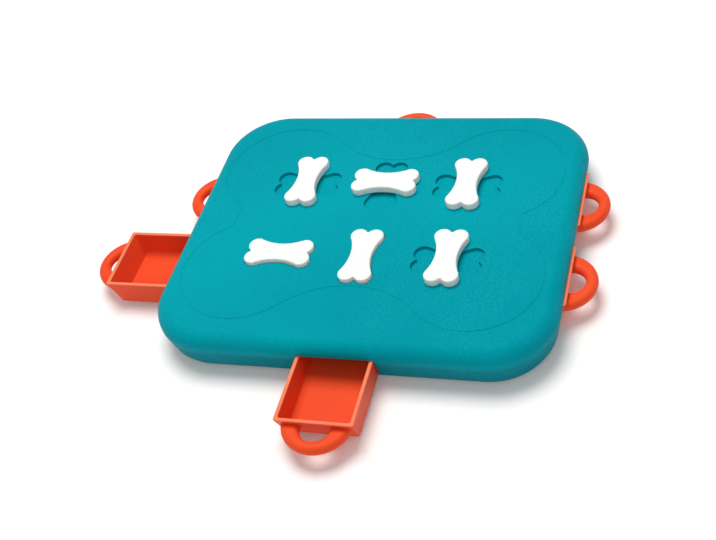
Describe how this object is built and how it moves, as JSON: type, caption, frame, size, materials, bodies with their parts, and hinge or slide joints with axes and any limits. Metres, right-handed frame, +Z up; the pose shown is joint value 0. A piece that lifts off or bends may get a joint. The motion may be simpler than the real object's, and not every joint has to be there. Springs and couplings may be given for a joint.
{
  "type": "dog puzzle feeder toy",
  "caption": "Low rounded board with ring-handled food drawers round its sides, each held shut by a bone-shaped knob that turns over a shaped seat.",
  "frame": {"origin": "on the floor, below the middle of the board's plan", "axes": "+X to the right drawers, +Y to the back drawer, +Z up"},
  "size_m": [0.3928, 0.3447, 0.0408],
  "materials": {
    "board_plastic": "matte moulded plastic with a fine pebble grain",
    "tray_plastic": "matte moulded plastic",
    "drawer_plastic": "semi-gloss moulded plastic",
    "bone_plastic": "smooth satin moulded plastic",
    "key_plastic": "plain moulded plastic",
    "screw_steel": "zinc-plated steel",
    "foot_rubber": "matte soft rubber"
  },
  "bodies": {
    "housing": {"top_cover": "board_plastic", "base_tray": "tray_plastic", "housing_screws": "screw_steel", "rubber_feet": "foot_rubber"},
    "drawer_left_front": {"drawer_left_front": "drawer_plastic"},
    "bone_left_front": {"bone_knob_left_front": "bone_plastic", "lock_key_left_front": "key_plastic", "key_screw_left_front": "screw_steel"},
    "drawer_left_back": {"drawer_left_back": "drawer_plastic"},
    "bone_left_back": {"bone_knob_left_back": "bone_plastic", "lock_key_left_back": "key_plastic", "key_screw_left_back": "screw_steel"},
    "drawer_right_front": {"drawer_right_front": "drawer_plastic"},
    "bone_right_front": {"bone_knob_right_front": "bone_plastic", "lock_key_right_front": "key_plastic", "key_screw_right_front": "screw_steel"},
    "drawer_right_back": {"drawer_right_back": "drawer_plastic"},
    "bone_right_back": {"bone_knob_right_back": "bone_plastic", "lock_key_right_back": "key_plastic", "key_screw_right_back": "screw_steel"},
    "drawer_front": {"drawer_front": "drawer_plastic"},
    "bone_front": {"bone_knob_front": "bone_plastic", "lock_key_front": "key_plastic", "key_screw_front": "screw_steel"},
    "drawer_back": {"drawer_back": "drawer_plastic"},
    "bone_back": {"bone_knob_back": "bone_plastic", "lock_key_back": "key_plastic", "key_screw_back": "screw_steel"}
  },
  "joints": [
    {"name": "drawer_left_front_slide", "type": "slide", "parent": "housing", "child": "drawer_left_front", "axis": [-1, 0, 0], "range_m": [-0.052, 0.009]},
    {"name": "bone_left_front_lift", "type": "slide", "parent": "housing", "child": "bone_left_front", "axis": [0, 0, 1], "range_m": [0, 0.0025]},
    {"name": "drawer_left_back_slide", "type": "slide", "parent": "housing", "child": "drawer_left_back", "axis": [-1, 0, 0], "range_m": [0, 0.061]},
    {"name": "bone_left_back_turn", "type": "hinge", "parent": "housing", "child": "bone_left_back", "pos_m": [-0.0646, 0.0386, 0.035], "axis": [0, 0, 1], "range_deg": [-90, 0]},
    {"name": "drawer_right_front_slide", "type": "slide", "parent": "housing", "child": "drawer_right_front", "axis": [1, 0, 0], "range_m": [0, 0.061]},
    {"name": "bone_right_front_turn", "type": "hinge", "parent": "housing", "child": "bone_right_front", "pos_m": [0.0646, -0.0386, 0.035], "axis": [0, 0, 1], "range_deg": [-90, 0]},
    {"name": "drawer_right_back_slide", "type": "slide", "parent": "housing", "child": "drawer_right_back", "axis": [1, 0, 0], "range_m": [0, 0.061]},
    {"name": "bone_right_back_turn", "type": "hinge", "parent": "housing", "child": "bone_right_back", "pos_m": [0.0646, 0.0386, 0.035], "axis": [0, 0, 1], "range_deg": [-90, 0]},
    {"name": "drawer_front_slide", "type": "slide", "parent": "housing", "child": "drawer_front", "axis": [0, -1, 0], "range_m": [-0.0525, 0.0085]},
    {"name": "bone_front_lift", "type": "slide", "parent": "housing", "child": "bone_front", "axis": [0, 0, 1], "range_m": [0, 0.0025]},
    {"name": "drawer_back_slide", "type": "slide", "parent": "housing", "child": "drawer_back", "axis": [0, 1, 0], "range_m": [0, 0.061]},
    {"name": "bone_back_turn", "type": "hinge", "parent": "housing", "child": "bone_back", "pos_m": [0, 0.0386, 0.035], "axis": [0, 0, 1], "range_deg": [-90, 0]}
  ]
}
